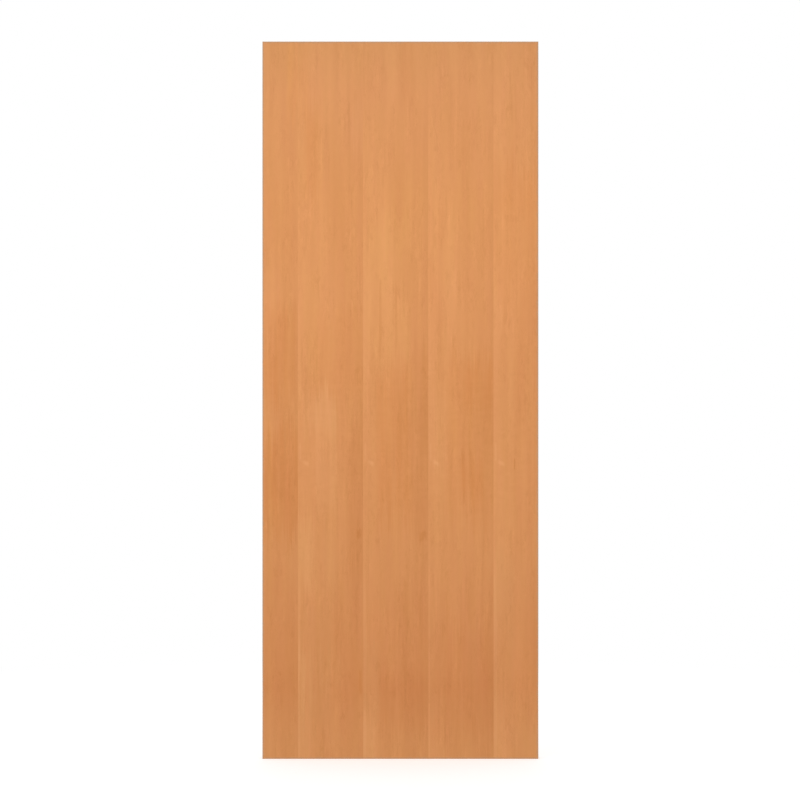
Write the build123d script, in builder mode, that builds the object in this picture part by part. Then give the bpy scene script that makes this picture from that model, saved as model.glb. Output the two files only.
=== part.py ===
"""A batten core flush door leaf, laid up from battens, stiles, edge lippings and three-ply skins.

Millimetres. X runs from the hinge edge to the lock edge, Y from the front face to the back face
and Z up from the bottom edge. The origin is the foot of the hinge edge, at mid thickness.
"""

import os
from math import ceil

from build123d import *

# The leaf as a whole: a 6 ft 6 in by 2 ft 6 in door
door_width = 762.0
door_height = 1981.0
door_thickness = 40.0
arris = 1.0  # the long edges are eased by this much at 45 degrees

# The three plies of each skin, from the outside in
veneer_thickness = 0.6
crossband_thickness = 2.0
inner_ply_thickness = 1.0

# The veneer leaves: they are laid outwards from a middle leaf and trimmed with the door's edges
leaf_width = 180.0
middle_leaf_offset = 13.0  # to the left of the middle, for someone looking at that face

# The frame of the core
lipping_thickness = 10.0
stile_width = 35.0
tongue_depth = 6.0
tongue_width = 8.0
tongue_chamfer = 0.8
tongue_relief = 0.5  # the groove is this much deeper than the tongue

# The core: battens laid loose-edged between the stiles and glued to the skins
batten_nominal_width = 60.0
batten_gap = 0.4

# Places that follow from the sizes above
skin_thickness = veneer_thickness + crossband_thickness + inner_ply_thickness
core_thickness = door_thickness - 2 * skin_thickness
core_left = lipping_thickness + stile_width
core_width = door_width - 2 * core_left
batten_count = max(1, round(core_width / batten_nominal_width))
batten_width = (core_width - (batten_count + 1) * batten_gap) / batten_count
batten_pitch = batten_width + batten_gap
middle_leaf = door_width / 2 - middle_leaf_offset
leaf_reach = ceil(door_width / leaf_width)
leaf_joints = [middle_leaf + (n + 0.5) * leaf_width for n in range(-leaf_reach, leaf_reach)]
leaf_edges = [0.0, *(joint for joint in leaf_joints if 0 < joint < door_width), door_width]
middle_of_width = Plane.YZ.offset(door_width / 2)

front = -1  # the side of the mid-plane that each face lies on
back = 1

os.makedirs("parts", exist_ok=True)


def save(piece, name):
    """Label a finished piece and write it under its own name."""
    piece.part.label = name
    export_step(piece.part, f"parts/{name}.step")


# The leaf's plan: a long rectangle whose four corners are eased. Whatever reaches the outside
# of the leaf is cut to this outline, so one arris runs through every ply that it meets.
with BuildSketch(Plane.XY) as leaf_plan:
    with Locations((door_width / 2, 0)):
        Rectangle(door_width, door_thickness)
    chamfer(leaf_plan.vertices(), arris)


def skin_layer(side, near, far, left=0.0, right=door_width):
    """One ply of a skin, between two depths below the face and two places along the width."""
    with BuildPart() as layer:
        with BuildSketch(Plane.XY):
            middle_depth = (near + far) / 2
            with Locations(((left + right) / 2, side * (door_thickness / 2 - middle_depth))):
                Rectangle(right - left, far - near)
            add(leaf_plan.sketch, mode=Mode.INTERSECT)
        extrude(amount=door_height)
    return layer


# The skins: slip-matched veneer leaves, a crossband with its grain across, and an inner ply
for side, side_name in ((front, "front"), (back, "back")):
    for n, (near_edge, far_edge) in enumerate(zip(leaf_edges, leaf_edges[1:]), start=1):
        if side == back:
            near_edge, far_edge = door_width - far_edge, door_width - near_edge
        veneer_leaf = skin_layer(side, 0.0, veneer_thickness, near_edge, far_edge)
        save(veneer_leaf, f"{side_name}_veneer_leaf_{n}")
    crossband_depth = veneer_thickness + crossband_thickness
    crossband = skin_layer(side, veneer_thickness, crossband_depth)
    save(crossband, f"{side_name}_crossband")
    inner_ply = skin_layer(side, crossband_depth, skin_thickness)
    save(inner_ply, f"{side_name}_inner_ply")

# The hinge edge: a hardwood lipping under the skins, with a tongue along its inner face
with BuildPart() as hinge_lipping:
    with BuildSketch(Plane.XY) as lipping_section:
        with Locations((lipping_thickness / 2, 0)):
            Rectangle(lipping_thickness, core_thickness)
        with Locations((lipping_thickness + tongue_depth / 2, 0)):
            Rectangle(tongue_depth, tongue_width)
        tongue_tip = lipping_section.vertices().group_by(Axis.X)[-1]
        chamfer(tongue_tip, tongue_chamfer)
        add(leaf_plan.sketch, mode=Mode.INTERSECT)
    extrude(amount=door_height)
save(hinge_lipping, "hinge_lipping")

# Its stile, grooved for the tongue
with BuildPart() as hinge_stile:
    groove_depth = tongue_depth + tongue_relief
    with BuildSketch(Plane.XY):
        with Locations((lipping_thickness + stile_width / 2, 0)):
            Rectangle(stile_width, core_thickness)
        with Locations((lipping_thickness + groove_depth / 2, 0)):
            Rectangle(groove_depth, tongue_width, mode=Mode.SUBTRACT)
    extrude(amount=door_height)
save(hinge_stile, "hinge_stile")

# The lock edge is the same, handed
with BuildPart() as lock_lipping:
    mirror(hinge_lipping.part, about=middle_of_width)
save(lock_lipping, "lock_lipping")

with BuildPart() as lock_stile:
    mirror(hinge_stile.part, about=middle_of_width)
save(lock_stile, "lock_stile")

# The battens, full height between the stiles, so their ends show at the top and bottom edges
for n in range(batten_count):
    batten_middle = core_left + batten_gap + batten_width / 2 + n * batten_pitch
    with BuildPart() as batten:
        with BuildSketch(Plane.XY):
            with Locations((batten_middle, 0)):
                Rectangle(batten_width, core_thickness)
        extrude(amount=door_height)
    save(batten, f"core_batten_{n + 1:02d}")
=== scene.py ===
# %% [markdown] # A batten core flush door  The door leaf is a sandwich. Its core is a row of
# timber battens between two stiles, its long edges are covered by hardwood lippings, and each
# face is a skin of three plies whose outermost is a thin decorative veneer. This script sets up
# the view and adds what makes the eye read the shapes as timber: the figure of the veneer, the
# rings and saw marks on the ends, the glue lines and the battens' eased edges. Floor and light
# come last.

# %% Load the packed model
import math
import random
from collections import namedtuple

import bmesh
import bpy
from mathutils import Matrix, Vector


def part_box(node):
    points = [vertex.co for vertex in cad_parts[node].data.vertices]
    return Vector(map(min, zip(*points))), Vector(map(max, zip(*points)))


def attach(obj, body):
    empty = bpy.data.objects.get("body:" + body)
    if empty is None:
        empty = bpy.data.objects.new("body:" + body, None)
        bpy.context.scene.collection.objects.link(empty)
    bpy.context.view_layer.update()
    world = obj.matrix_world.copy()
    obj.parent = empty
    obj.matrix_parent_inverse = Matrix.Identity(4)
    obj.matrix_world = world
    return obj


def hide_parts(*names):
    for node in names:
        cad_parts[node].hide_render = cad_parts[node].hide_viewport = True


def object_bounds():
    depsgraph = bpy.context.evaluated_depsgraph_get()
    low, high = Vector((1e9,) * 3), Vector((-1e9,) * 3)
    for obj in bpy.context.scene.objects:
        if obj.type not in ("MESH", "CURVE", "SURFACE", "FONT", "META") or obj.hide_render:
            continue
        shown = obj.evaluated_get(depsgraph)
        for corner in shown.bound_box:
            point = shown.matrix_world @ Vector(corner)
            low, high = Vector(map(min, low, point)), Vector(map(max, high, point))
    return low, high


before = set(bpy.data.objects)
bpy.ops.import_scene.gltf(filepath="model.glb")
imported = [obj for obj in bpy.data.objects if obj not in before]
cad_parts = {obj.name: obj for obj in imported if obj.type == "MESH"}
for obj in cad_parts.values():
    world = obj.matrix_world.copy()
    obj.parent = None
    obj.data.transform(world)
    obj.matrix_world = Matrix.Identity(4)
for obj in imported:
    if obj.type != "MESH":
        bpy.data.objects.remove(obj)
cad_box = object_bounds()
door_low, door_high = cad_box
door_width, door_thickness, door_height = door_high - door_low
door_middle = (door_low + door_high) / 2
print(f"door: {door_width:.3f} wide, {door_thickness:.3f} thick, {door_height:.3f} m high")

# %% [markdown]
# ## The view
#
# The door is seen square on, with no perspective to speak of, so the camera stands far back with
# a long lens. A camera with no perspective at all would come close too, but a real one always has
# a little. Where the four edges of the door lie in an image of 800 by 800 pixels says how wide the
# view is and where its middle is, and the rest follows.

# %% Camera
image_pixels = 800
door_left_pixel, door_right_pixel = 262.38, 538.43
door_top_pixel, door_bottom_pixel = 41.56, 758.91
camera_distance = 8.0

metres_per_pixel = door_height / (door_bottom_pixel - door_top_pixel)
view_width = image_pixels * metres_per_pixel
aim_right = image_pixels / 2 - (door_left_pixel + door_right_pixel) / 2
aim_down = image_pixels / 2 - (door_top_pixel + door_bottom_pixel) / 2

camera_data = bpy.data.cameras.new("camera")
camera_data.sensor_width = 36.0
camera_data.lens = camera_data.sensor_width * camera_distance / view_width
camera = bpy.data.objects.new("camera", camera_data)
camera.location = (
    door_middle.x + aim_right * metres_per_pixel,
    door_low.y - camera_distance,
    door_middle.z - aim_down * metres_per_pixel,
)
camera.rotation_euler = (math.pi / 2, 0, 0)
bpy.context.scene.collection.objects.link(camera)
bpy.context.scene.camera = camera
print(f"lens {camera_data.lens:.1f} mm, {metres_per_pixel * 1000:.3f} mm to a pixel")

# %% [markdown]
# ## Mixing finishes from nodes
#
# Every finish here is a node material. Wiring nodes by hand in code is wordy, so a small class
# holds one material and has a short method for each kind of node it needs. Each method adds a
# node, fills its inputs with numbers or with the outputs of other nodes, and returns its output,
# so that a finish reads like a formula. The class is built in three steps. The first adds nodes
# and does the arithmetic.

# %% A helper for formulas
class Formula:
    """One node material under construction, and the arithmetic in it."""

    def __init__(self, name):
        self.material = bpy.data.materials.new(name)
        self.material.use_nodes = True
        self.nodes = self.material.node_tree.nodes
        self.links = self.material.node_tree.links
        self.shader = self.nodes["Principled BSDF"]
        self.place = self.add("TexCoord", {}, "Object")

    def fill(self, socket, value):
        """Put a number, a colour, a vector or another node's output into an input."""
        if isinstance(value, bpy.types.NodeSocket):
            self.links.new(value, socket)
        elif isinstance(value, tuple) and len(value) < len(socket.default_value):
            socket.default_value = (*value, 1.0)
        else:
            socket.default_value = value

    def add(self, kind, inputs, output=0, **settings):
        """Add a node of a kind, with its settings and its inputs by name or number."""
        node = self.nodes.new("ShaderNode" + kind)
        for name, value in settings.items():
            setattr(node, name, value)
        for name, value in inputs.items():
            self.fill(node.inputs[name], value)
        return node.outputs[output]

    def math(self, operation, *values):
        """Any operation of the Math node."""
        return self.add("Math", dict(enumerate(values)), operation=operation)

    def sum(self, total, *others):
        """Add any number of values."""
        for value in others:
            total = self.math("ADD", total, value)
        return total

    def product(self, total, *others):
        """Multiply any number of values."""
        for value in others:
            total = self.math("MULTIPLY", total, value)
        return total

    def swing(self, value, amount):
        """Turn a value between 0 and 1 into one that swings by an amount about zero."""
        return self.math("MULTIPLY_ADD", value, 2 * amount, -amount)

    def ease(self, value, start, end, low=0.0, high=1.0):
        """Go smoothly from low to high while the value goes from start to end."""
        levels = {"Value": value, "From Min": start, "From Max": end, "To Min": low, "To Max": high}
        return self.add("MapRange", levels, interpolation_type="SMOOTHSTEP")

    def window(self, value, start, end, soft):
        """1 between two values and 0 outside them, with soft sides."""
        rise = self.ease(value, start - soft, start + soft)
        fall = self.ease(value, end + soft, end - soft)
        return self.product(rise, fall)


print("a formula has", ", ".join(name for name in vars(Formula) if not name.startswith("_")))

# %% [markdown]
# ### Patterns
#
# The second step adds what patterns are made of: coordinates, noise and ramps. All patterns start
# from Object coordinates, which are metres in the door's own frame, so a pattern has a true size
# and stays on its piece. A picture that is wrapped around the door could give a pattern too, but
# noise is a solid: it runs on from a face to its edge as real grain does.

# %% A helper for patterns
starts_to_face, fully_faces = 0.75, 0.95  # how much of a face's normal lies along an axis


class Pattern(Formula):
    """A material with coordinates, noise and ramps."""

    def split(self, vector):
        """The three coordinates of a vector."""
        node = self.nodes.new("ShaderNodeSeparateXYZ")
        self.fill(node.inputs[0], vector)
        return node.outputs

    def join(self, x, y, z):
        """A vector from three coordinates."""
        return self.add("CombineXYZ", {0: x, 1: y, 2: z})

    def move(self, vector, location=(0, 0, 0), scale=(1, 1, 1)):
        """Move and scale a pattern's coordinates."""
        return self.add("Mapping", {"Vector": vector, "Location": location, "Scale": scale})

    def noise(self, vector, size, detail=2.0, shift=0.0):
        """Cloudy noise with blobs of about a size along x, y and z. A shift reads another part."""
        moved = self.move(vector, (shift, shift, shift), tuple(1 / s for s in size))
        return self.add("TexNoise", {"Vector": moved, "Scale": 1.0, "Detail": detail})

    def facing(self, axis):
        """1 on faces that look along an axis, either way, and 0 on faces that look across it."""
        normal = self.add("TexCoord", {}, "Normal")
        return self.ease(self.math("ABSOLUTE", self.split(normal)[axis]), starts_to_face, fully_faces)

    def ramp(self, value, stops):
        """Colours or greys at stops along a value from 0 to 1, blended in between."""
        node = self.nodes.new("ShaderNodeValToRGB")
        for _ in stops[2:]:
            node.color_ramp.elements.new(0.5)
        for element, (position, colour) in zip(node.color_ramp.elements, stops):
            element.position = position
            element.color = (*colour, 1.0) if isinstance(colour, tuple) else (colour,) * 3 + (1.0,)
        self.fill(node.inputs[0], value)
        return node.outputs[0]


print("a pattern adds", ", ".join(name for name in vars(Pattern) if not name.startswith("_")))

# %% [markdown]
# ### Colour and surface
#
# The last step blends colours and wires them to the shader, with a roughness and a relief. Image
# editors write a colour as three numbers up to 255 on a curve that suits the eye, while shaders
# reckon in amounts of light, so the first function turns one into the other.

# %% A helper for colours and surfaces
timber_gloss = 0.3  # bare wood mirrors less than the shader's usual 0.5
mix_amount, mix_first, mix_second, mix_result = 0, 6, 7, 2  # a Mix node's sockets for colours


def linear(red, green, blue):
    """A colour written as in an image editor, from 0 to 255, in the linear values shaders use."""
    shares = [channel / 255 for channel in (red, green, blue)]
    return tuple(((s + 0.055) / 1.055) ** 2.4 if s > 0.04045 else s / 12.92 for s in shares)


class Finish(Pattern):
    """A finish: colours that are blended and shaded, and their wiring to the shader."""

    def tint(self, amount, colour, other, blend="MIX"):
        """Blend a second colour over a first."""
        node = self.nodes.new("ShaderNodeMix")
        node.data_type = "RGBA"
        node.blend_type = blend
        for number, value in ((mix_amount, amount), (mix_first, colour), (mix_second, other)):
            self.fill(node.inputs[number], value)
        return node.outputs[mix_result]

    def shade(self, colour, brightness, response=(1.0, 1.0, 1.0)):
        """Multiply a colour by a brightness, which red, green and blue may answer unequally."""
        answers = [self.math("POWER", brightness, power) for power in response]
        return self.tint(1.0, colour, self.add("CombineColor", dict(enumerate(answers))), "MULTIPLY")

    def finish(self, colour, roughness, height, depth):
        """Wire the colour, the roughness and a relief that is so many metres deep."""
        self.fill(self.shader.inputs["Base Color"], colour)
        self.fill(self.shader.inputs["Roughness"], roughness)
        self.shader.inputs["Specular IOR Level"].default_value = timber_gloss
        bumped = self.add("Bump", {"Strength": 1.0, "Distance": depth, "Height": height})
        self.fill(self.shader.inputs["Normal"], bumped)
        return self.material


print("a grey of 128 is", round(linear(128, 128, 128)[0], 3), "to a shader")

# %% [markdown]
# ## The face veneer
#
# The veneer is a light red hardwood, sliced across the growth rings. Sliced that way it shows no
# arches, only straight ribbons and short pores. The leaves come off the log one after another and
# are laid side by side without turning any over, which is called slip matching: each leaf repeats
# its neighbour with small changes, and where a leaf's dark right side meets the next one's pale
# left side there is a step in tone.
#
# One recipe therefore makes all ten leaves. It works in the leaf's own coordinates: across from
# the leaf's left side, up the door, and a slice number as the third axis. Noise that is read at a
# slightly different depth for each slice drifts as the real figure does.

# %% Where each leaf starts
leaf_count = 5
middle_leaf = 3  # a whole leaf, which says how wide they all are before the edges trim two
middle_low, middle_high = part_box(f"front_veneer_leaf_{middle_leaf}")
leaf_width = middle_high.x - middle_low.x
leaf_lefts = [middle_low.x + (n - middle_leaf) * leaf_width for n in range(1, leaf_count + 1)]
print("leaves start at", [round(x, 3) for x in leaf_lefts], "and are", round(leaf_width, 3), "wide")

# %% [markdown]
# ### The tones
#
# The timber is palest and most orange about three quarters of the way up, and browner towards
# the foot. Those tones are stops of a colour ramp that follows the height, from 0 at the foot to
# 1 at the head. An image of a board could give them too, but stops stay smooth at any distance
# and are easy to change one by one.

# %% The tones of the veneer
height_tones = [
    (0.00, linear(213, 147, 90)),
    (0.10, linear(208, 136, 80)),
    (0.28, linear(213, 143, 86)),
    (0.45, linear(216, 145, 87)),
    (0.64, linear(222, 150, 92)),
    (0.78, linear(223, 151, 92)),
    (0.93, linear(221, 150, 94)),
    (1.00, linear(216, 148, 91)),
]
print(len(height_tones), "tones from the foot to the head of the door")

# %% [markdown]
# ### Marks in the figure
#
# Over those tones lie marks that differ from slice to slice: rusty clouds, pale ribbons, brown
# mineral streaks and pin knots. Each is written as where it starts and ends across the leaf and up
# the door, in metres, how soft its sides and its ends are, which tone it multiplies the wood by,
# and how strong it is. Rust, brown and knot darken the wood, pale, straw, sage and gold lighten it
# towards one hue, and moss only takes some red away. Marks could also be painted on an image, but
# a written mark stays sharp at any distance and is easy to move.

# %% Marks in the figure, leaf by leaf
Mark = namedtuple("Mark", "left right foot head side_blur end_blur tone strength")
rust = (0.955, 0.890, 0.780)
brown = (0.955, 0.915, 0.875)
pale = (1.04, 1.09, 1.18)
straw = (1.01, 1.035, 1.01)
sage = (1.035, 1.09, 1.13)
gold = (1.045, 1.045, 0.99)
moss = (0.975, 1.0, 1.0)
knot = (0.92, 0.86, 0.74)

figure_marks = {
    1: [
        Mark(0.080, 0.178, 0.99, 1.24, 0.010, 0.05, rust, 0.55),
        Mark(0.080, 0.125, 0.99, 1.12, 0.012, 0.04, rust, 0.35),
        Mark(0.080, 0.182, 0.62, 0.90, 0.006, 0.05, rust, 0.75),
        Mark(0.080, 0.182, 0.70, 0.82, 0.010, 0.04, brown, 0.50),
        Mark(0.097, 0.106, 0.05, 0.91, 0.003, 0.06, straw, 1.00),
        Mark(0.150, 0.182, 1.76, 1.99, 0.006, 0.05, gold, 0.80),
        Mark(0.128, 0.158, 0.88, 1.00, 0.006, 0.03, brown, 0.50),
        Mark(0.158, 0.182, 0.44, 0.62, 0.005, 0.05, pale, 0.30),
        Mark(0.090, 0.130, 0.44, 0.64, 0.012, 0.05, brown, 0.45),
    ],
    2: [
        Mark(0.012, 0.106, 0.90, 1.01, 0.004, 0.03, pale, 0.45),
        Mark(0.050, 0.106, 0.68, 1.01, 0.003, 0.03, pale, 0.48),
        Mark(0.000, 0.050, 0.47, 0.66, 0.012, 0.05, sage, 1.00),
        Mark(0.000, 0.130, 0.17, 0.29, 0.020, 0.04, sage, 0.65),
        Mark(0.000, 0.035, 0.00, 0.30, 0.010, 0.06, sage, 0.50),
        Mark(0.138, 0.182, 0.52, 0.88, 0.010, 0.06, brown, 0.85),
        Mark(0.045, 0.180, 1.00, 1.24, 0.020, 0.05, rust, 0.30),
        Mark(0.171, 0.178, 0.18, 0.24, 0.002, 0.01, rust, 0.90),
        Mark(0.000, 0.030, 1.78, 1.99, 0.008, 0.05, gold, 0.50),
        Mark(0.018, 0.062, 1.56, 1.80, 0.010, 0.05, rust, 0.50),
        Mark(0.144, 0.182, 1.69, 1.80, 0.008, 0.04, pale, 0.50),
        Mark(0.000, 0.090, 0.10, 0.42, 0.012, 0.05, moss, 1.00),
        Mark(0.020, 0.060, 1.05, 1.34, 0.010, 0.05, straw, 1.00),
        Mark(0.058, 0.105, 0.45, 0.64, 0.010, 0.05, pale, 0.42),
        Mark(0.161, 0.174, 0.608, 0.634, 0.004, 0.006, knot, 0.90),
    ],
    3: [
        Mark(0.003, 0.130, 1.09, 1.48, 0.008, 0.05, straw, 0.90),
        Mark(0.003, 0.182, 1.40, 1.62, 0.015, 0.05, straw, 0.45),
        Mark(0.044, 0.050, 1.11, 1.31, 0.001, 0.02, brown, 0.90),
        Mark(0.089, 0.094, 1.11, 1.31, 0.001, 0.02, brown, 0.90),
        Mark(0.038, 0.135, 0.65, 1.06, 0.008, 0.06, rust, 0.60),
        Mark(0.135, 0.182, 0.62, 1.14, 0.010, 0.05, brown, 0.80),
        Mark(0.045, 0.182, 0.08, 0.24, 0.015, 0.05, brown, 0.80),
        Mark(0.000, 0.030, 0.00, 0.12, 0.010, 0.04, sage, 0.80),
        Mark(0.104, 0.144, 1.80, 1.99, 0.010, 0.05, brown, 0.60),
        Mark(0.020, 0.182, 0.28, 0.46, 0.020, 0.06, brown, 0.40),
        Mark(0.000, 0.045, 0.12, 0.32, 0.010, 0.05, moss, 1.20),
        Mark(0.154, 0.174, 0.604, 0.627, 0.004, 0.006, knot, 0.75),
    ],
    4: [
        Mark(0.000, 0.045, 1.18, 1.45, 0.010, 0.06, brown, 0.40),
        Mark(0.000, 0.110, 1.42, 1.60, 0.020, 0.05, straw, 0.50),
        Mark(0.055, 0.182, 0.65, 1.11, 0.012, 0.05, rust, 0.40),
        Mark(0.090, 0.180, 0.97, 1.11, 0.010, 0.04, rust, 0.40),
        Mark(0.085, 0.150, 0.71, 0.83, 0.010, 0.04, rust, 0.50),
        Mark(0.000, 0.050, 0.80, 1.00, 0.010, 0.05, pale, 0.40),
        Mark(0.015, 0.182, 0.04, 0.36, 0.020, 0.06, brown, 0.75),
        Mark(0.000, 0.060, 0.30, 0.46, 0.012, 0.05, brown, 0.55),
        Mark(0.105, 0.145, 0.20, 0.37, 0.012, 0.05, pale, 0.45),
        Mark(0.020, 0.050, 1.42, 1.53, 0.010, 0.03, brown, 0.55),
        Mark(0.000, 0.022, 1.24, 1.36, 0.005, 0.04, brown, 0.50),
        Mark(0.000, 0.045, 0.12, 0.42, 0.010, 0.05, moss, 0.60),
    ],
    5: [
        Mark(0.000, 0.120, 1.25, 1.62, 0.020, 0.08, rust, 0.30),
        Mark(0.024, 0.124, 1.50, 1.62, 0.015, 0.04, rust, 0.25),
        Mark(0.060, 0.126, 0.60, 1.25, 0.012, 0.08, brown, 0.55),
        Mark(0.000, 0.055, 0.86, 1.08, 0.010, 0.05, pale, 0.15),
        Mark(0.000, 0.055, 0.12, 0.55, 0.010, 0.05, moss, 0.80),
        Mark(0.056, 0.059, 0.799, 0.828, 0.001, 0.003, knot, 1.00),
    ],
}
print(sum(len(marks) for marks in figure_marks.values()), "marks on a face")

# %% [markdown]
# ### The grain
#
# The grain is built up like paint, from broad to fine. Broad bands and ribbons are noise that is
# stretched far up the door. Streaks, fibres and small blotches lie over them, with a few long
# lines, and short dark dashes where several pores open side by side. Lines and dashes are the
# peaks or the troughs of a noise beyond a threshold, so that calm wood lies between them. Last
# come the single vessels, under half a millimetre wide, which only show from near by. A slow noise
# turns all this fine grain up and down, because real wood is lively in one place and calm in the
# next. The whole figure wanders a few millimetres from side to side as it climbs, as a tree does.
# About halfway up, where the trunk's fibres rippled, a faint mottle runs across the grain.
#
# The size of each noise says how wide its blobs are in metres, over how many slices they last and
# how far up the leaf they reach. The amount of each swing is the share by which that layer makes
# the wood brighter and darker.
#
# Grain darkens wood by about the same step in red, green and blue. The blue of this wood is its
# weakest channel and the red its strongest, so the same step is a larger share of the blue and a
# smaller share of the red. That is what the response of the shading says.

# %% The grain of the veneer
grain_response = (0.68, 1.0, 1.6)
calm, lively = 0.25, 1.25
ripple_foot, ripple_head, ripple_blur = 0.66, 1.12, 0.10


def veneer_figure(finish, across, depth, up):
    """Brightness that swings about zero with the grain, and its streaks and open pores."""
    grain = finish.join(across, depth, up)
    bands = finish.noise(grain, (0.050, 3, 0.35), detail=1.0, shift=3.1)
    ribbons = finish.noise(grain, (0.022, 4, 0.60), detail=1.0, shift=7.7)
    streaks = finish.noise(grain, (0.0120, 2, 0.13), detail=0.6, shift=1.3)
    fibres = finish.noise(grain, (0.0075, 1, 0.045), detail=0.0, shift=5.9)
    threads = finish.noise(grain, (0.0016, 1, 0.030), detail=1.0, shift=16.8)
    lines = finish.noise(grain, (0.0065, 2, 0.20), detail=0.0, shift=18.5)
    dark_dashes = finish.noise(grain, (0.0085, 1, 0.028), detail=0.0, shift=9.2)
    pale_dashes = finish.noise(grain, (0.0085, 1, 0.030), detail=0.0, shift=12.4)
    vessels = finish.noise(grain, (0.0004, 1, 0.007), detail=1.0, shift=8.6)
    blotches = finish.noise(grain, (0.010, 2, 0.022), detail=1.0, shift=29.9)
    ripples = finish.noise(grain, (0.030, 2, 0.012), detail=1.0, shift=25.3)
    lively_places = finish.noise(grain, (0.040, 3, 0.11), detail=1.0, shift=33.7)
    rippled_height = finish.window(up, ripple_foot, ripple_head, ripple_blur)
    fine_grain = finish.sum(
        finish.swing(streaks, 0.036),
        finish.swing(fibres, 0.012),
        finish.swing(threads, 0.024),
        finish.ease(lines, 0.60, 0.74, high=-0.028),
        finish.ease(lines, 0.40, 0.26, high=0.020),
        finish.ease(dark_dashes, 0.60, 0.72, high=-0.034),
        finish.ease(pale_dashes, 0.62, 0.74, high=0.024),
        finish.ease(vessels, 0.60, 0.68, high=-0.11),
    )
    liveliness = finish.ease(lively_places, 0.38, 0.62, calm, lively)
    figure = finish.sum(
        finish.swing(bands, 0.075),
        finish.swing(ribbons, 0.064),
        finish.swing(blotches, 0.024),
        finish.product(fine_grain, liveliness),
        finish.product(finish.swing(ripples, 0.032), rippled_height),
    )
    return figure, streaks, vessels


print(f"grain shows {grain_response[2] / grain_response[0]:.1f} times as much in blue as in red")

# %% [markdown]
# ### Flaws that every leaf repeats
#
# Two flaws come back in every leaf, because every slice was cut through them: a thin pale stripe
# just right of each joint, towards the foot, and a small pale fleck at the height of a lock, with
# a stem that stands by the joint and a blot that slopes away from it. They are what tells the eye
# that the leaves come from one log, so they are written once, in the leaf's coordinates, and not
# leaf by leaf as the marks are.

# %% Stripe and fleck
flaw_tone = (1.065, 1.13, 1.25)
soft_side = 0.002

stripe_share = 0.47
stripe_width, stripe_unevenness = 0.006, 0.008
stripe_gone_above, stripe_full_below = 0.62, 0.42

stem_share = 0.50
stem_left, stem_right = 0.004, 0.009
stem_foot, stem_head, stem_blur = 0.822, 0.872, 0.006

blot_slope = 0.4
blot_starts, blot_full, blot_fades, blot_ends = 0.008, 0.022, 0.025, 0.034
blot_foot, blot_head, blot_blur = 0.8205, 0.8315, 0.005


def repeated_flaws(finish, across, up):
    """How much of the flaws' pale tone shows: the stripe, and the fleck's stem and blot."""
    uneven = finish.noise(finish.place, (0.2, 0.2, 0.30), detail=1.0, shift=2.2)
    width = finish.sum(stripe_width, finish.swing(uneven, stripe_unevenness))
    stripe_left = finish.ease(across, 0.0, soft_side)
    stripe_right = finish.ease(across, finish.sum(width, soft_side), width)
    low_down = finish.ease(up, stripe_gone_above, stripe_full_below, high=stripe_share)
    stripe = finish.product(stripe_left, stripe_right, low_down)

    stem_sides = finish.window(across, stem_left, stem_right, soft_side)
    stem_ends = finish.window(up, stem_foot, stem_head, stem_blur)
    stem = finish.product(stem_sides, stem_ends, stem_share)

    sloping = finish.sum(up, finish.product(across, blot_slope))
    blot_left = finish.ease(across, blot_starts, blot_full)
    blot_right = finish.ease(across, blot_ends, blot_fades)
    blot_height = finish.window(sloping, blot_foot, blot_head, blot_blur)
    blot = finish.product(blot_left, blot_right, blot_height)
    return finish.sum(stripe, stem, blot)


print(f"every leaf has a fleck beside its joint, {stem_foot:.2f} m up")

# %% [markdown]
# ### The colour of a leaf
#
# The colour is laid on in the order in which the wood got it: the tone at this height, a slow
# drift between ochre and rose, the marks of this slice and the flaws of every slice. Each is
# multiplied over the last, as a stain is, so that none of them hides the others. A mark would look
# stencilled with an even tone and clean ends, so it is thinner in one streak than in the next,
# and each fibre lets it run on a little further or less far.

# %% Tones, drift and marks
ochre = (1.0, 1.035, 0.97)
rose = (1.0, 0.965, 1.01)
thinnest, thickest = 0.6, 1.35  # a mark in one streak and in another, as shares of its strength
fray_reach = 2.0  # how far a fibre carries a mark on, as a share of the softness of its ends


def leaf_colour(finish, in_leaf, across_bent, marks, lift):
    """The colour of the wood at each place of a leaf, before the grain shades it."""
    across, _, up = finish.split(in_leaf)
    tone = finish.ramp(finish.product(up, 1 / door_height), height_tones)
    drift = finish.noise(in_leaf, (0.020, 3, 0.18), detail=2.0, shift=21.0)
    colour = finish.tint(1.0, tone, finish.tint(drift, ochre, rose), "MULTIPLY")
    streaks = finish.noise(in_leaf, (0.012, 5, 0.30), detail=2.0, shift=6.6)
    streaky = finish.ease(streaks, 0.25, 0.70, thinnest, thickest)
    fibres = finish.noise(in_leaf, (0.004, 1, 0.15), detail=1.0, shift=4.4)
    fray = finish.swing(fibres, fray_reach)
    for mark in marks:
        up_frayed = finish.sum(up, finish.product(fray, mark.end_blur))
        sides = finish.window(across_bent, mark.left, mark.right, mark.side_blur)
        ends = finish.window(up_frayed, mark.foot + lift, mark.head + lift, mark.end_blur)
        amount = finish.product(sides, ends, streaky, mark.strength)
        colour = finish.tint(amount, colour, mark.tone, "MULTIPLY")
    return finish.tint(repeated_flaws(finish, across, up), colour, flaw_tone, "MULTIPLY")


print(f"a mark is laid on at {thinnest} to {thickest} times its strength")

# %% [markdown]
# ### The painted shade along the rim
#
# A grey is painted over the veneer along the door's four edges: painted shade, where the edges turn
# away from the light. The distance to the nearest edge is the smaller of the distances to the sides
# and to the ends. A little noise on that distance keeps the painted shade from ending in a ruled line.

# %% Painted shade towards the edges
# the grey of the painted shade along the door's edges
edge_shade_tone = linear(192, 148, 112)
rim_width = 0.0070
rim_fully_grey = 0.0005
rim_strength = 0.80
rim_unevenness = 0.0025


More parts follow.
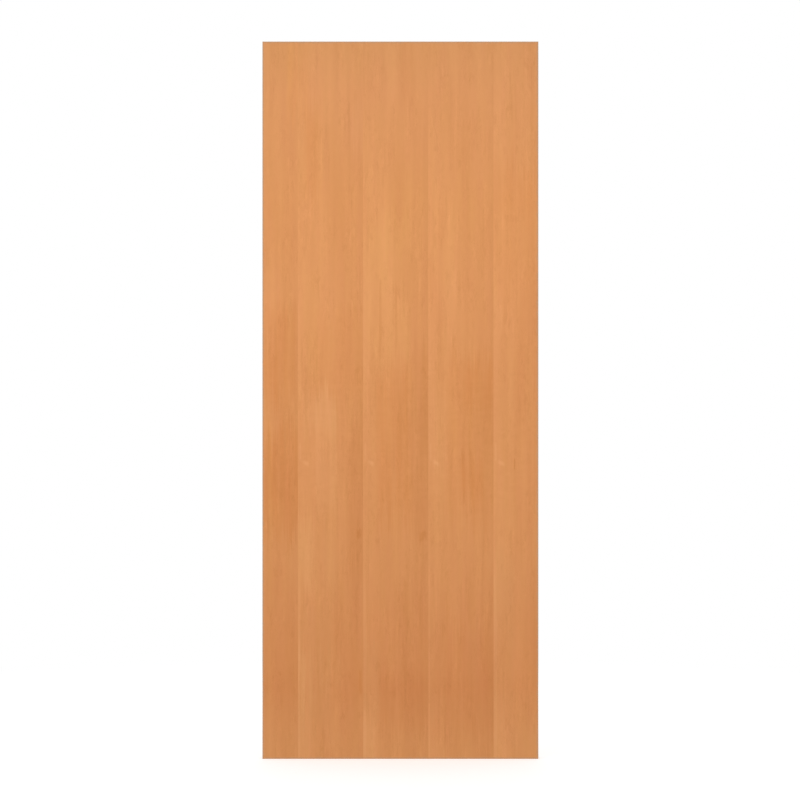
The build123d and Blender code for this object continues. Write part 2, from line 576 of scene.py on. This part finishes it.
def painted_edge_shade(finish, colour):
    """Blend a leaf's colour into a grey of painted shade along the edges of the door."""
    x, _, z = finish.split(finish.place)
    to_side = finish.math("MINIMUM", x, finish.math("SUBTRACT", door_width, x))
    to_end = finish.math("MINIMUM", z, finish.math("SUBTRACT", door_height, z))
    uneven = finish.noise(finish.place, (0.012, 0.012, 0.012), detail=2.0, shift=30.5)
    to_edge = finish.sum(finish.math("MINIMUM", to_side, to_end), finish.swing(uneven, rim_unevenness))
    grey = finish.ease(to_edge, rim_width, rim_fully_grey, high=rim_strength)
    return finish.tint(grey, colour, edge_shade_tone)


print(f"the greyed rim is about {rim_width * 1000:.0f} mm wide")

# %% [markdown]
# ### One recipe for a leaf
#
# The recipe puts these together. It adds the lean from a pale left side to a dark right side,
# which is what makes the joints show, and which is weak at the head of the door and strong from
# the middle down. Roughness and relief come from the same streaks and vessels as the colour, so
# that the light catches a pore where the eye sees one.

# %% The veneer recipe
lean_across = [(0.0, 1.0), (0.12, 0.82), (0.35, 0.64), (0.58, 0.50), (0.80, 0.20), (1.0, 0.10)]
weak_lean, full_lean = 0.018, 0.060
weak_lean_above, full_lean_below = 1.9, 1.2
wander_reach = 0.008
pore_depth = 0.00004


def veneer_finish(name, leaf_left, facing, slice_number, marks, lift):
    """The figured veneer of one leaf. Facing is 1 on the front and -1 on the back."""
    finish = Finish(name)
    in_leaf = finish.move(finish.place, (-facing * leaf_left, slice_number, 0), (facing, 0, 1))
    across, depth, up = finish.split(in_leaf)
    wander = finish.noise(in_leaf, (0.07, 9, 0.40))
    across_bent = finish.sum(across, finish.swing(wander, wander_reach))

    lean = finish.ramp(finish.product(across, 1 / leaf_width), lean_across)
    lean_strength = finish.ease(up, weak_lean_above, full_lean_below, weak_lean, full_lean)
    leaning = finish.product(finish.swing(lean, 1.0), lean_strength)
    figure, streaks, vessels = veneer_figure(finish, across_bent, depth, up)
    brightness = finish.sum(1.0, leaning, figure)

    colour = leaf_colour(finish, in_leaf, across_bent, marks, lift)
    colour = finish.shade(colour, brightness, grain_response)
    # painted shade: the colour turns grey along the door's four edges
    colour = painted_edge_shade(finish, colour)
    roughness = finish.sum(0.60, finish.swing(streaks, 0.08))
    return finish.finish(colour, roughness, finish.product(vessels, -1.0), pore_depth)


print(f"the left side of a leaf is up to {full_lean:.0%} brighter than its middle")

# %% [markdown]
# ### Laying the leaves
#
# Each leaf gets a material of its own, because its left side and its slice number go into the
# recipe. The back is laid with the next five slices of the log, whose marks sit a little higher.
# Seen from behind, left and right change places, so on the back the recipe runs the other way.

# %% Lay the veneer on both faces
back_lift = 0.11

for number, left in enumerate(leaf_lefts, start=1):
    front_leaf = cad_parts[f"front_veneer_leaf_{number}"]
    back_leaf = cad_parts[f"back_veneer_leaf_{number}"]
    back_number = leaf_count + 1 - number
    front_leaf.data.materials[0] = veneer_finish(
        f"veneer_front_{number}", left, 1, number, figure_marks[number], 0.0
    )
    back_leaf.data.materials[0] = veneer_finish(
        f"veneer_back_{number}", door_width - left, -1, leaf_count + number,
        figure_marks[back_number], back_lift,
    )
print("veneer laid on", 2 * leaf_count, "leaves")

# %% [markdown]
# ## The sawn ends
#
# The finished blank was cut to length in one pass of a panel saw, through plies, hardwood and
# softwood alike. Each tooth left an arc of the blade, one step of the feed after the last. The
# arcs could be drawn for each piece, but they run on from piece to piece, so they are one function
# of the place on the door, and every finish below adds it to its relief. The blade's axis lies
# below the panel. For each point of the end the function works out where the axis stood when a
# tooth passed there, and counts the steps up to it.

# %% Saw marks on the ends
X, Y, Z = 0, 1, 2
blade_radius = 0.15
blade_below_middle = 0.11  # from the blade's axis to the middle of the door's thickness
feed_step = 0.0013
saw_mark_height = 0.3  # as a share of the relief of pores and fibres
timber_relief = 0.00010


def saw_marks(finish):
    """Ridges and grooves on the sawn ends, and nothing on the other faces."""
    place = finish.split(finish.place)
    above_axis = finish.sum(place[Y], blade_below_middle)
    squared = finish.product(above_axis, above_axis)
    half_chord = finish.math("SQRT", finish.math("SUBTRACT", blade_radius ** 2, squared))
    axis_stood = finish.math("SUBTRACT", place[X], half_chord)
    ridges = finish.math("SINE", finish.product(axis_stood, 2 * math.pi / feed_step))
    return finish.product(ridges, finish.facing(Z), saw_mark_height)


print("saw marks", feed_step * 1000, "mm apart")

# %% [markdown]
# ## The plies under the veneer
#
# Two more plies of a plain pinkish timber lie under the veneer. The crossband has its grain
# across the door, so it shows end grain on the long edges, and the inner ply has its grain up
# the door. One recipe serves both: its noise is stretched along the grain, and the same noise
# gives long fibres on one edge and dots of end grain on another, because a solid texture is cut
# by whatever face it meets. A thin dark glue line runs where two plies meet.

# %% The plies
glue_tone = linear(92, 60, 40)
crossband_tone = linear(205, 158, 118)
inner_ply_tone = linear(186, 132, 94)
glue_reach, glue_core = 0.00022, 0.00008
glue_strength = 0.8
warmer = (1.02, 1.0, 0.95)
cooler = (0.98, 0.99, 1.03)


def stretched(axis, along, thin):
    """The size of a noise that is long in the direction of the grain and thin across it."""
    return tuple(along if direction == axis else thin for direction in (X, Y, Z))


def drifting_tone(finish, tone):
    """A colour that slow noise makes a little warmer here and cooler there."""
    drift = finish.noise(finish.place, (0.06, 0.06, 0.50), detail=1.0, shift=15.0)
    warm_tone = tuple(channel * change for channel, change in zip(tone, warmer))
    cool_tone = tuple(channel * change for channel, change in zip(tone, cooler))
    return finish.tint(drift, warm_tone, cool_tone)


def glue_lines(finish, colour, coordinate, places):
    """Darken a colour a hair's breadth to both sides of some planes."""
    for place in places:
        distance = finish.math("ABSOLUTE", finish.math("SUBTRACT", coordinate, place))
        line = finish.ease(distance, glue_reach, glue_core, high=glue_strength)
        colour = finish.tint(line, colour, glue_tone)
    return colour


def ply_finish(name, tone, grain_axis, glue_depths):
    """A plain ply, with glue lines at some distances from the middle of the door."""
    finish = Finish(name)
    figure = finish.noise(finish.place, stretched(grain_axis, 0.30, 0.006), detail=2.0, shift=2.7)
    fibres = finish.noise(finish.place, stretched(grain_axis, 0.05, 0.0012), detail=2.0, shift=6.1)
    vessels = finish.noise(finish.place, stretched(grain_axis, 0.010, 0.0005), detail=1.0, shift=8.3)
    pores = finish.ease(vessels, 0.58, 0.68)
    end_grain = finish.facing(grain_axis)
    brightness = finish.sum(
        1.0,
        finish.swing(figure, 0.14),
        finish.swing(fibres, 0.12),
        finish.product(pores, -0.22),
        finish.product(end_grain, -0.20),
    )
    colour = finish.shade(drifting_tone(finish, tone), brightness)
    depth = finish.math("ABSOLUTE", finish.split(finish.place)[Y])
    colour = glue_lines(finish, colour, depth, glue_depths)
    roughness = finish.sum(0.74, finish.swing(fibres, 0.08))
    relief = finish.sum(finish.product(pores, -1.0), saw_marks(finish))
    return finish.finish(colour, roughness, relief, timber_relief)


print(f"a glue line is {2 * glue_reach * 1000:.2f} mm wide where it shows")

# %% [markdown]
# ### Where the plies meet
#
# The packed model says at which depths the plies meet, so the glue lines are measured from it and
# not written again. Both faces of the door are alike, and the recipe takes the distance from the
# middle of the door, so that front and back can share a material.

# %% Finish the crossbands and the inner plies
crossband_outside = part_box("back_crossband")[1].y
crossband_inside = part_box("back_crossband")[0].y
core_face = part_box("back_inner_ply")[0].y
crossband_material = ply_finish("crossband", crossband_tone, X, (crossband_outside, crossband_inside))
inner_ply_material = ply_finish("inner_ply", inner_ply_tone, Z, (crossband_inside, core_face))
for side_name in ("front", "back"):
    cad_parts[f"{side_name}_crossband"].data.materials[0] = crossband_material
    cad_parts[f"{side_name}_inner_ply"].data.materials[0] = inner_ply_material
print(f"plies meet {crossband_outside * 1000:.1f}, {crossband_inside * 1000:.1f} and "
      f"{core_face * 1000:.1f} mm from the middle")

# %% [markdown]
# ## The lippings
#
# The strips along the long edges are solid, of the same red hardwood as the face, planed flat
# and a shade deeper because they are not sliced thin. Their grain runs up the door. On the top
# and bottom edges of the door the strip and its tongue show their end grain, darker and full of
# open pores, and the glue line where the strip meets the stile. The veneer's recipe wouldn't do
# for them, because it draws one flat face and knows of no end grain.

# %% The lippings
lipping_tone = linear(212, 140, 88)


def hardwood_finish(name, tone, glue_planes):
    """Solid hardwood with its grain up the door."""
    finish = Finish(name)
    bands = finish.noise(finish.place, (0.014, 0.009, 0.55), detail=2.0, shift=4.9)
    streaks = finish.noise(finish.place, (0.0035, 0.0035, 0.16), detail=2.0, shift=1.9)
    vessels = finish.noise(finish.place, (0.0005, 0.0005, 0.009), detail=1.0, shift=7.2)
    pores = finish.ease(vessels, 0.60, 0.70)
    end_grain = finish.facing(Z)
    brightness = finish.sum(
        1.0,
        finish.swing(bands, 0.15),
        finish.swing(streaks, 0.13),
        finish.product(pores, -0.17),
        finish.product(end_grain, -0.22),
    )
    colour = finish.shade(drifting_tone(finish, tone), brightness)
    colour = glue_lines(finish, colour, finish.split(finish.place)[X], glue_planes)
    roughness = finish.sum(0.58, finish.swing(streaks, 0.10), finish.product(end_grain, 0.12))
    relief = finish.sum(finish.product(pores, -1.0), saw_marks(finish))
    return finish.finish(colour, roughness, relief, timber_relief)


hinge_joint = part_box("hinge_stile")[0].x
lock_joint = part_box("lock_stile")[1].x
lipping_material = hardwood_finish("lipping", lipping_tone, (hinge_joint, lock_joint))
for edge_name in ("hinge", "lock"):
    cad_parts[f"{edge_name}_lipping"].data.materials[0] = lipping_material
print(f"lippings meet the stiles at {hinge_joint * 1000:.0f} and {lock_joint * 1000:.0f} mm")

# %% [markdown]
# ## The softwood core
#
# The stiles and battens are sawn softwood. What shows of them is their end grain, along the top
# and bottom edges: arcs of growth rings, each fading from pale earlywood to a thin dark line of
# latewood, crossed by fine rays. The rings are circles about the heart of the log, so the recipe
# measures how far a point is from a heart that runs up the door somewhere beside the piece, and
# looks up the tone of the year that the distance falls in. The rings could also be circles drawn
# on the ends, but measured in the solid they run on down the sides as straight grain.

# %% The softwood recipe
earlywood = linear(236, 201, 152)
latewood = linear(186, 124, 74)
growing_year = [(0.0, 0.0), (0.45, 0.08), (0.72, 0.38), (0.90, 1.0), (0.97, 0.9), (1.0, 0.0)]
ring_wave = 0.0020  # how far a ring strays from a true circle
weather_swing = 0.8  # in years: good summers make wide rings and bad ones narrow rings
weather_reach = 0.018  # how much wood grows before the weather changes
weather_shift = 9  # for each metre between two hearts, so that every log had its own weather


def softwood_finish(name, heart_x, heart_y, ring_width, shade):
    """Sawn softwood whose log had its heart at one place in the plan of the door."""
    finish = Finish(name)
    from_heart = finish.move(finish.place, (-heart_x, -heart_y, 0), (1, 1, 0))
    distance = finish.add("VectorMath", {0: from_heart}, "Value", operation="LENGTH")
    wave = finish.noise(finish.place, (0.030, 0.030, 0.50), detail=1.5, shift=3.7)
    distance = finish.sum(distance, finish.swing(wave, ring_wave))
    along_radius = finish.join(distance, 0.0, 0.0)
    weather = finish.noise(along_radius, (weather_reach, 1, 1), detail=1.0, shift=heart_x * weather_shift)
    years = finish.sum(finish.product(distance, 1 / ring_width), finish.swing(weather, weather_swing))
    late = finish.ramp(finish.math("FRACT", years), growing_year)
    colour = finish.tint(late, tuple(c * shade for c in earlywood), tuple(c * shade for c in latewood))

    east, north, _ = finish.split(from_heart)
    ray_place = finish.join(finish.math("ARCTAN2", north, east), distance, 0.0)
    rays = finish.noise(ray_place, (0.010, 0.012, 1), detail=2.0, shift=5.3)
    fibres = finish.noise(finish.place, (0.0016, 0.0016, 0.08), detail=2.0, shift=11.1)
    end_grain = finish.facing(Z)
    brightness = finish.sum(
        1.0,
        finish.swing(rays, 0.10),
        finish.swing(fibres, 0.12),
        finish.product(end_grain, -0.10),
    )
    colour = finish.shade(colour, brightness)

    roughness = finish.sum(0.76, finish.swing(fibres, 0.08))
    relief = finish.sum(fibres, saw_marks(finish))
    return finish.finish(colour, roughness, relief, timber_relief)


print("one year's growth goes through", len(growing_year), "tones")

# %% [markdown]
# ## The stiles
#
# A stile is the upright beside the battens that hinges and lock are screwed to. Every stile and
# batten came from another place in another log, so each gets a heart, a ring width and a tone of
# its own. Those could be written down piece by piece, but they are sooner drawn at random, from a
# source that starts with a fixed number, so that the door comes out the same each time.

# %% Give each stile its own log
heart_reach = (0.045, 0.120)  # from the middle of the piece
ring_widths = (0.0035, 0.0070)
log_shades = (0.86, 1.02)
draw = random.Random(1981)


def draw_softwood(name, low, high):
    """A softwood of its own for one piece, with the heart beyond one of its faces."""
    turn = draw.uniform(0, 2 * math.pi)
    reach = draw.uniform(*heart_reach)
    middle = (low + high) / 2
    heart_x = middle.x + reach * math.cos(turn)
    heart_y = middle.y + reach * math.sin(turn)
    ring_width = draw.uniform(*ring_widths)
    return softwood_finish(name, heart_x, heart_y, ring_width, draw.uniform(*log_shades))


for edge_name in ("hinge", "lock"):
    stile_low, stile_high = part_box(f"{edge_name}_stile")
    stile_material = draw_softwood(f"{edge_name}_stile", stile_low, stile_high)
    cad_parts[f"{edge_name}_stile"].data.materials[0] = stile_material
print(f"stiles finished, {(stile_high.x - stile_low.x) * 1000:.0f} mm wide")

# %% [markdown]
# ## The battens
#
# The packed model has the battens as plain bars. A dressed batten has slightly rounded long
# edges, so that two of them side by side leave a small groove, and a core that has dried for a
# while no longer ends in one plane: each batten stands a few hundredths to two tenths of a
# millimetre back from the edge. A cube that is stretched to the batten, bevelled along its four
# long edges and shortened at its ends makes that in a few lines. The dressed batten then rides on
# the door's one body and replaces the plain bar.

# %% Dress the battens
batten_names = sorted(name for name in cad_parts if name.startswith("core_batten_"))
eased_edge = 0.0006
least_shrinkage, most_shrinkage = 0.00002, 0.0002


def dressed_batten(name, low, high):
    """A batten with eased long edges and ends that have drawn back unevenly."""
    shape = bmesh.new()
    bmesh.ops.create_cube(shape, size=1.0)
    bmesh.ops.scale(shape, vec=high - low, verts=shape.verts)
    bmesh.ops.translate(shape, vec=(low + high) / 2, verts=shape.verts)
    long_edges = [e for e in shape.edges if abs(e.verts[0].co.z - e.verts[1].co.z) > eased_edge]
    bmesh.ops.bevel(
        shape, geom=long_edges, offset=eased_edge, segments=3, profile=0.5, affect="EDGES", material=-1
    )
    for end_height, inwards in ((low.z, 1), (high.z, -1)):
        end = [v for v in shape.verts if abs(v.co.z - end_height) < eased_edge]
        shrinkage = draw.uniform(least_shrinkage, most_shrinkage)
        bmesh.ops.translate(shape, vec=(0, 0, inwards * shrinkage), verts=end)
    mesh = bpy.data.meshes.new(name)
    shape.to_mesh(mesh)
    shape.free()
    batten = bpy.data.objects.new(name, mesh)
    bpy.context.scene.collection.objects.link(batten)
    return batten


for node_name in batten_names:
    batten_low, batten_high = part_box(node_name)
    batten = dressed_batten(f"dressed_{node_name}", batten_low, batten_high)
    batten.data.materials.append(draw_softwood(node_name, batten_low, batten_high))
    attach(batten, "root")
    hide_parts(node_name)
print(len(batten_names), "battens dressed")

# %% [markdown]
# ## The studio floor
#
# The door stands on a plain pale floor. A floor that is lit as the door is comes out light grey.
# More lamps could whiten it, but they would light the door too. So the floor glows, but only for
# the rays that show a background: those straight from the camera and those that a shiny thing
# mirrors or a clear thing lets through. The soft light on the door isn't raised by that glow. The
# floor itself is quite matt, because a shiny one would mirror the white world up onto the door.
#
# Near the door the glow lifts the lit floor only so far that the door's shadow still shows.
# Farther off it takes the place of the lit floor, at a strength of 1, which is white and no
# brighter. A floor brighter than white would eat into the door's outline, because the pixels
# there are a blend of the door and what lies behind it.

# %% Rays that show the background
background_rays = ("Is Camera Ray", "Is Glossy Ray", "Is Transmission Ray")


def background_share(tree):
    """1 for the rays that show the background, and 0 for the rays of soft light."""
    path = tree.nodes.new("ShaderNodeLightPath")
    share = path.outputs[background_rays[0]]
    for kind in background_rays[1:]:
        either = tree.nodes.new("ShaderNodeMath")
        either.operation = "MAXIMUM"
        tree.links.new(share, either.inputs[0])
        tree.links.new(path.outputs[kind], either.inputs[1])
        share = either.outputs[0]
    return share


print("the background shows to", len(background_rays), "kinds of ray")

# %% Studio floor
floor_half_width = 20.0
floor_tone = (0.8, 0.8, 0.8)
black = (0.0, 0.0, 0.0)
glow_near_door, glow_far_off = 0.44, 1.0
fade_starts, fade_ends = 1.6, 3.0

floor_mesh = bpy.data.meshes.new("studio_floor")
floor_shape = bmesh.new()
bmesh.ops.create_grid(floor_shape, x_segments=1, y_segments=1, size=floor_half_width)
floor_shape.to_mesh(floor_mesh)
floor_shape.free()
floor = bpy.data.objects.new("studio_floor", floor_mesh)
bpy.context.scene.collection.objects.link(floor)

floor_finish = Finish("studio_floor")
floor_finish.shader.inputs["Roughness"].default_value = 1.0
floor_finish.shader.inputs["Specular IOR Level"].default_value = 0.0
floor_finish.shader.inputs["Emission Color"].default_value = (1.0, 1.0, 1.0, 1.0)
shown = background_share(floor_finish.material.node_tree)
door_foot = floor_finish.move(floor_finish.place, (-door_middle.x, -door_middle.y, 0))
from_door = floor_finish.add("VectorMath", {0: door_foot}, "Value", operation="LENGTH")
glow = floor_finish.ease(from_door, fade_starts, fade_ends, glow_near_door, glow_far_off)
far_off = floor_finish.ease(from_door, fade_starts, fade_ends)
tone = floor_finish.tint(floor_finish.product(shown, far_off), floor_tone, black)
floor_finish.fill(floor_finish.shader.inputs["Base Color"], tone)
floor_finish.fill(floor_finish.shader.inputs["Emission Strength"], floor_finish.product(shown, glow))
floor_mesh.materials.append(floor_finish.material)
print("floor laid,", 2 * floor_half_width, "m wide")

# %% [markdown]
# ## Light
#
# Four large lamps make soft light: one at each side of the camera, one behind the door and one
# overhead, over an even glow from all round. The side lamps hang just clear of the floor, a little
# above the middle of the door, so that its face is lit evenly, and they are as strong as makes a
# colour render about as it is written. The world, too, is whiter as a background than as a light.

# %% Light
world_glow = 0.57
background_glow = 1.0

world = bpy.data.worlds.new("studio")
bpy.context.scene.world = world
world.use_nodes = True
background = world.node_tree.nodes["Background"]
level = world.node_tree.nodes.new("ShaderNodeMapRange")
level.inputs["To Min"].default_value = world_glow
level.inputs["To Max"].default_value = background_glow
world.node_tree.links.new(background_share(world.node_tree), level.inputs["Value"])
world.node_tree.links.new(level.outputs[0], background.inputs["Strength"])
background.inputs["Color"].default_value = (1.0, 1.0, 1.0, 1.0)


def soft_lamp(name, place, size, power):
    """A square area lamp that looks at the middle of the door."""
    lamp_data = bpy.data.lights.new(name, "AREA")
    lamp_data.shape = "SQUARE"
    lamp_data.size = size
    lamp_data.energy = power
    lamp = bpy.data.objects.new(name, lamp_data)
    lamp.location = place
    lamp.rotation_euler = (door_middle - Vector(place)).to_track_quat("-Z", "Y").to_euler()
    lamp.visible_camera = False
    bpy.context.scene.collection.objects.link(lamp)


soft_lamp("left_softbox", place=(-3.3, -4.0, 1.3), size=2.2, power=82)
soft_lamp("right_softbox", place=(4.0, -4.0, 1.2), size=2.2, power=60)
soft_lamp("back_softbox", place=(0.4, 5.2, 1.4), size=2.6, power=94)
soft_lamp("top_softbox", place=(door_middle.x, door_middle.y, 4.8), size=2.5, power=26)

bpy.context.scene.view_settings.view_transform = "Standard"
print(len(bpy.data.lights), "lamps")

# %% [markdown]
# ## Size
#
# A finish or a dressed batten must not make the door larger than the packed model.
